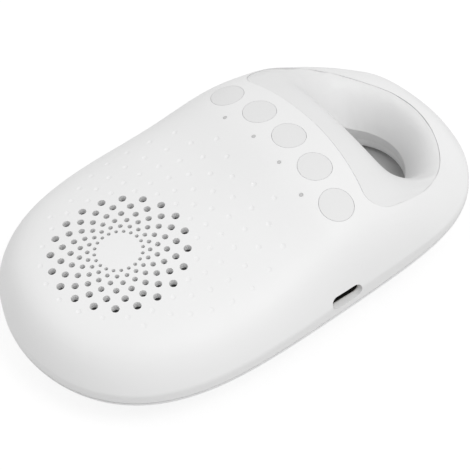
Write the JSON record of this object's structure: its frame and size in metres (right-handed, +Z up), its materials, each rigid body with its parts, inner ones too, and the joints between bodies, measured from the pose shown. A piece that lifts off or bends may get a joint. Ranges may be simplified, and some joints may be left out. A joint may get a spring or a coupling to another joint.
{
  "type": "white noise sound machine",
  "caption": "Pebble-shaped portable white noise machine with a spiral grille, a row of flush buttons and a lined handle slot.",
  "frame": {"origin": "centre of the footprint, on the plane the rubber feet stand on", "axes": "+Z up out of the front, +Y towards the handle slot, +X towards the charging port side"},
  "size_m": [0.0794, 0.1318, 0.036],
  "materials": {
    "shell": "fine satin, almost smooth",
    "trim": "soft satin",
    "keycap": "satin",
    "light_guide": "clear, slightly milky",
    "board": "solder mask over glass fibre",
    "chip": "moulded epoxy",
    "steel": "plated steel",
    "nickel": "nickel plate",
    "black_plastic": "matte moulded",
    "white_plastic": "nylon, matte",
    "led": "clear epoxy over a white package",
    "ceramic": "fired ceramic with tinned ends",
    "ferrite": "sintered ferrite",
    "capacitor": "drawn can",
    "paper": "pressed paper pulp",
    "rubber": "matte",
    "foam": "closed-cell foam",
    "cloth": "fine woven mesh",
    "spider_cloth": "resin-dipped cloth",
    "copper": "enamelled copper",
    "cell": "pouch foil",
    "wire": "silicone sleeve"
  },
  "bodies": {
    "case": {"front_shell": "shell", "rear_shell": "shell", "handle_trim": "trim", "light_pipes": "light_guide", "key_board": "board", "switch_bodies": "black_plastic", "switch_covers": "steel", "status_leds": "led", "resistors": "ceramic", "main_board": "board", "usb_socket": "nickel", "usb_tongue": "black_plastic", "control_chip": "chip", "amplifier_chip": "chip", "charge_chip": "chip", "flash_memory": "chip", "power_inductor": "ferrite", "storage_capacitors": "capacitor", "ceramic_capacitors": "ceramic", "board_link": "black_plastic", "battery_plug": "white_plastic", "battery_socket": "white_plastic", "speaker_plug": "white_plastic", "speaker_socket": "white_plastic", "battery_cell": "cell", "battery_pad": "foam", "battery_wires": "wire", "speaker_wires": "wire", "speaker_frame": "steel", "speaker_top_plate": "steel", "speaker_magnet": "ferrite", "speaker_yoke": "steel", "speaker_surround": "rubber", "speaker_spider": "spider_cloth", "speaker_terminals": "board", "speaker_gasket": "foam", "grille_cloth": "cloth", "case_screws": "steel", "key_board_screws": "steel", "main_board_screws": "steel", "speaker_screws": "steel", "rubber_feet": "rubber"},
    "timer_button": {"timer_button": "keycap", "timer_plunger": "black_plastic"},
    "sound_button": {"sound_button": "keycap", "sound_plunger": "black_plastic"},
    "power_button": {"power_button": "keycap", "power_plunger": "black_plastic"},
    "volume_down_button": {"volume_down_button": "keycap", "volume_down_plunger": "black_plastic"},
    "volume_up_button": {"volume_up_button": "keycap", "volume_up_plunger": "black_plastic"},
    "cone": {"speaker_cone": "paper", "dust_cap": "paper", "voice_coil": "copper"}
  },
  "joints": [
    {"name": "timer_press", "type": "slide", "parent": "case", "child": "timer_button", "axis": [0, 0, -1], "range_m": [0, 0.0003], "stiffness_N_per_m": 1500, "springref_m": -0.0003},
    {"name": "sound_press", "type": "slide", "parent": "case", "child": "sound_button", "axis": [0, 0, -1], "range_m": [0, 0.0003], "stiffness_N_per_m": 1500, "springref_m": -0.0003},
    {"name": "power_press", "type": "slide", "parent": "case", "child": "power_button", "axis": [0, 0, -1], "range_m": [0, 0.0003], "stiffness_N_per_m": 1500, "springref_m": -0.0003},
    {"name": "volume_down_press", "type": "slide", "parent": "case", "child": "volume_down_button", "axis": [0, 0, -1], "range_m": [0, 0.0003], "stiffness_N_per_m": 1500, "springref_m": -0.0003},
    {"name": "volume_up_press", "type": "slide", "parent": "case", "child": "volume_up_button", "axis": [0, 0, -1], "range_m": [0, 0.0003], "stiffness_N_per_m": 1500, "springref_m": -0.0003},
    {"name": "cone_travel", "type": "slide", "parent": "case", "child": "cone", "axis": [0, 0, 1], "range_m": [-0.0008, 0.0008], "stiffness_N_per_m": 2000, "deforming": ["speaker_surround", "speaker_spider"]}
  ]
}
